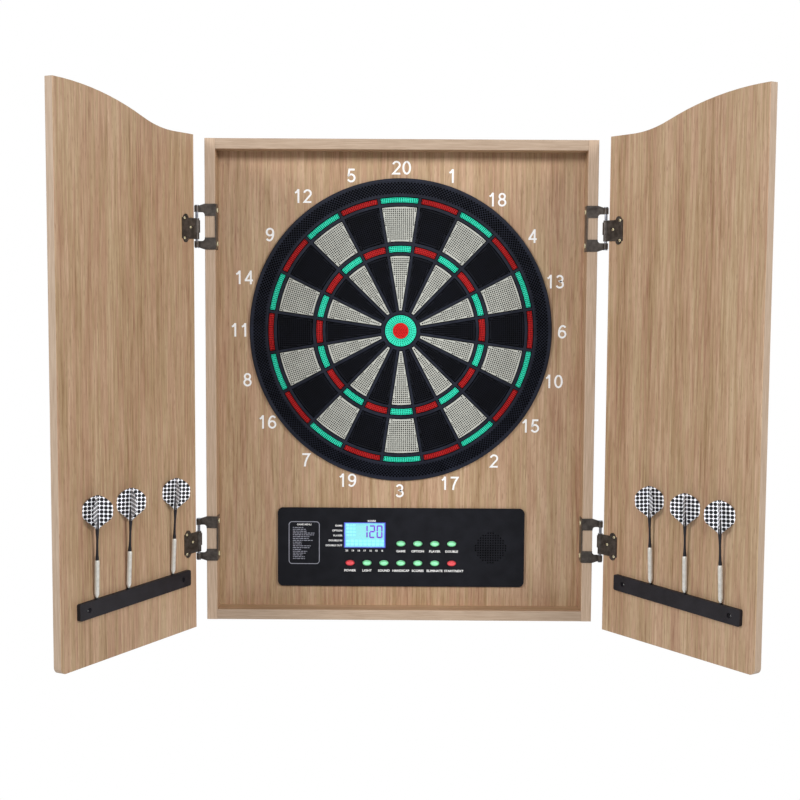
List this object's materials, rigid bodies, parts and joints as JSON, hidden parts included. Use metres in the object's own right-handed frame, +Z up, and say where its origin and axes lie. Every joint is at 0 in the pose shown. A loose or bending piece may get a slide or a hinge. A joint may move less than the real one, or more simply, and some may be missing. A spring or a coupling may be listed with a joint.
{
  "type": "dart board cabinet",
  "caption": "Electronic dart board set in a wooden wall cabinet with two hinged ogee-topped doors, dart racks with darts, a control panel and press buttons.",
  "frame": {"origin": "on the flat back plane of the cabinet, on the axis of the bull", "axes": "+Z up, -Y out of the board towards the player, +X to the right as seen by the player"},
  "size_m": [0.8104, 0.3031, 0.6713],
  "materials": {
    "wood": "oak-look laminate, satin",
    "black_plastic": "moulded, satin",
    "cream_plastic": "moulded, perforated",
    "green_plastic": "moulded, perforated",
    "red_plastic": "moulded, perforated",
    "bronze_metal": "dark bronze lacquer",
    "steel_screws": "zinc plated",
    "membrane_film": "polyester film",
    "clear_window": "clear",
    "display_blue": "backlit",
    "board_green": "solder mask",
    "mat_rubber": "silicone",
    "speaker_metal": "black",
    "button_green": "translucent",
    "button_red": "translucent",
    "dart_body": "satin"
  },
  "bodies": {
    "cabinet": {"side_panel_left": "wood", "side_panel_right": "wood", "top_panel": "wood", "bottom_panel": "wood", "back_panel": "wood", "face_panel": "wood", "catch_ring": "black_plastic", "board_tray": "black_plastic", "tray_screws": "steel_screws", "spider": "black_plastic", "sensor_membrane": "membrane_film", "cream_singles": "cream_plastic", "black_singles": "black_plastic", "green_segments": "green_plastic", "red_segments": "red_plastic", "control_faceplate": "black_plastic", "display_window": "clear_window", "display_module": "display_blue", "circuit_board": "board_green", "circuit_screws": "steel_screws", "keypad_mat": "mat_rubber", "speaker": "speaker_metal", "hinge_bracket_left_upper": "bronze_metal", "hinge_bracket_right_upper": "bronze_metal", "hinge_bracket_left_lower": "bronze_metal", "hinge_bracket_right_lower": "bronze_metal", "hinge_pins": "bronze_metal", "bracket_screws": "steel_screws"},
    "door_left": {"door_panel_left": "wood", "hinge_leaf_left_upper": "bronze_metal", "hinge_leaf_left_lower": "bronze_metal", "leaf_screws_left": "steel_screws", "dart_rack_left": "black_plastic", "rack_screws_left": "steel_screws"},
    "door_right": {"door_panel_right": "wood", "hinge_leaf_right_upper": "bronze_metal", "hinge_leaf_right_lower": "bronze_metal", "leaf_screws_right": "steel_screws", "dart_rack_right": "black_plastic", "rack_screws_right": "steel_screws"},
    "outer_bull_key": {"outer_bull": "green_plastic"},
    "inner_bull_key": {"inner_bull": "red_plastic"},
    "button_game_key": {"button_game": "button_green"},
    "button_option_key": {"button_option": "button_green"},
    "button_player_key": {"button_player": "button_green"},
    "button_double_key": {"button_double": "button_green"},
    "button_power_key": {"button_power": "button_red"},
    "button_light_key": {"button_light": "button_green"},
    "button_sound_key": {"button_sound": "button_green"},
    "button_handicap_key": {"button_handicap": "button_green"},
    "button_scores_key": {"button_scores": "button_green"},
    "button_eliminate_key": {"button_eliminate": "button_green"},
    "button_start_next_key": {"button_start_next": "button_red"},
    "dart_left_1_body": {"dart_left_1": "dart_body"},
    "dart_left_2_body": {"dart_left_2": "dart_body"},
    "dart_left_3_body": {"dart_left_3": "dart_body"},
    "dart_right_1_body": {"dart_right_1": "dart_body"},
    "dart_right_2_body": {"dart_right_2": "dart_body"},
    "dart_right_3_body": {"dart_right_3": "dart_body"}
  },
  "joints": [
    {"name": "door_left_hinge", "type": "hinge", "parent": "cabinet", "child": "door_left", "pos_m": [-0.261, -0.0735, 0], "axis": [0, 0, 1], "range_deg": [-62, 118]},
    {"name": "door_right_hinge", "type": "hinge", "parent": "cabinet", "child": "door_right", "pos_m": [0.261, -0.0735, 0], "axis": [0, 0, 1], "range_deg": [-124.6, 55.4]},
    {"name": "outer_bull_press", "type": "slide", "parent": "cabinet", "child": "outer_bull_key", "axis": [0, 1, 0], "range_m": [0, 0.0012], "stiffness_N_per_m": 600},
    {"name": "inner_bull_press", "type": "slide", "parent": "cabinet", "child": "inner_bull_key", "axis": [0, 1, 0], "range_m": [0, 0.0012], "stiffness_N_per_m": 600},
    {"name": "button_game_press", "type": "slide", "parent": "cabinet", "child": "button_game_key", "axis": [0, 1, 0], "range_m": [0, 0.001], "stiffness_N_per_m": 500},
    {"name": "button_option_press", "type": "slide", "parent": "cabinet", "child": "button_option_key", "axis": [0, 1, 0], "range_m": [0, 0.001], "stiffness_N_per_m": 500},
    {"name": "button_player_press", "type": "slide", "parent": "cabinet", "child": "button_player_key", "axis": [0, 1, 0], "range_m": [0, 0.001], "stiffness_N_per_m": 500},
    {"name": "button_double_press", "type": "slide", "parent": "cabinet", "child": "button_double_key", "axis": [0, 1, 0], "range_m": [0, 0.001], "stiffness_N_per_m": 500},
    {"name": "button_power_press", "type": "slide", "parent": "cabinet", "child": "button_power_key", "axis": [0, 1, 0], "range_m": [0, 0.001], "stiffness_N_per_m": 500},
    {"name": "button_light_press", "type": "slide", "parent": "cabinet", "child": "button_light_key", "axis": [0, 1, 0], "range_m": [0, 0.001], "stiffness_N_per_m": 500},
    {"name": "button_sound_press", "type": "slide", "parent": "cabinet", "child": "button_sound_key", "axis": [0, 1, 0], "range_m": [0, 0.001], "stiffness_N_per_m": 500},
    {"name": "button_handicap_press", "type": "slide", "parent": "cabinet", "child": "button_handicap_key", "axis": [0, 1, 0], "range_m": [0, 0.001], "stiffness_N_per_m": 500},
    {"name": "button_scores_press", "type": "slide", "parent": "cabinet", "child": "button_scores_key", "axis": [0, 1, 0], "range_m": [0, 0.001], "stiffness_N_per_m": 500},
    {"name": "button_eliminate_press", "type": "slide", "parent": "cabinet", "child": "button_eliminate_key", "axis": [0, 1, 0], "range_m": [0, 0.001], "stiffness_N_per_m": 500},
    {"name": "button_start_next_press", "type": "slide", "parent": "cabinet", "child": "button_start_next_key", "axis": [0, 1, 0], "range_m": [0, 0.001], "stiffness_N_per_m": 500},
    {"name": "dart_left_1_lift", "type": "slide", "parent": "door_left", "child": "dart_left_1_body", "axis": [0.0499, -0.0325, 0.9982], "range_m": [0, 0.02]},
    {"name": "dart_left_2_lift", "type": "slide", "parent": "door_left", "child": "dart_left_2_body", "axis": [0.0466, -0.0386, 0.9982], "range_m": [0, 0.02]},
    {"name": "dart_left_3_lift", "type": "slide", "parent": "door_left", "child": "dart_left_3_body", "axis": [0.0343, -0.0617, 0.9975], "range_m": [0, 0.02]},
    {"name": "dart_right_1_lift", "type": "slide", "parent": "door_right", "child": "dart_right_1_body", "axis": [-0.0409, -0.0452, 0.9981], "range_m": [0, 0.02]},
    {"name": "dart_right_2_lift", "type": "slide", "parent": "door_right", "child": "dart_right_2_body", "axis": [-0.03, -0.0609, 0.9977], "range_m": [0, 0.02]},
    {"name": "dart_right_3_lift", "type": "slide", "parent": "door_right", "child": "dart_right_3_body", "axis": [-0.0449, -0.0394, 0.9982], "range_m": [0, 0.02]}
  ]
}
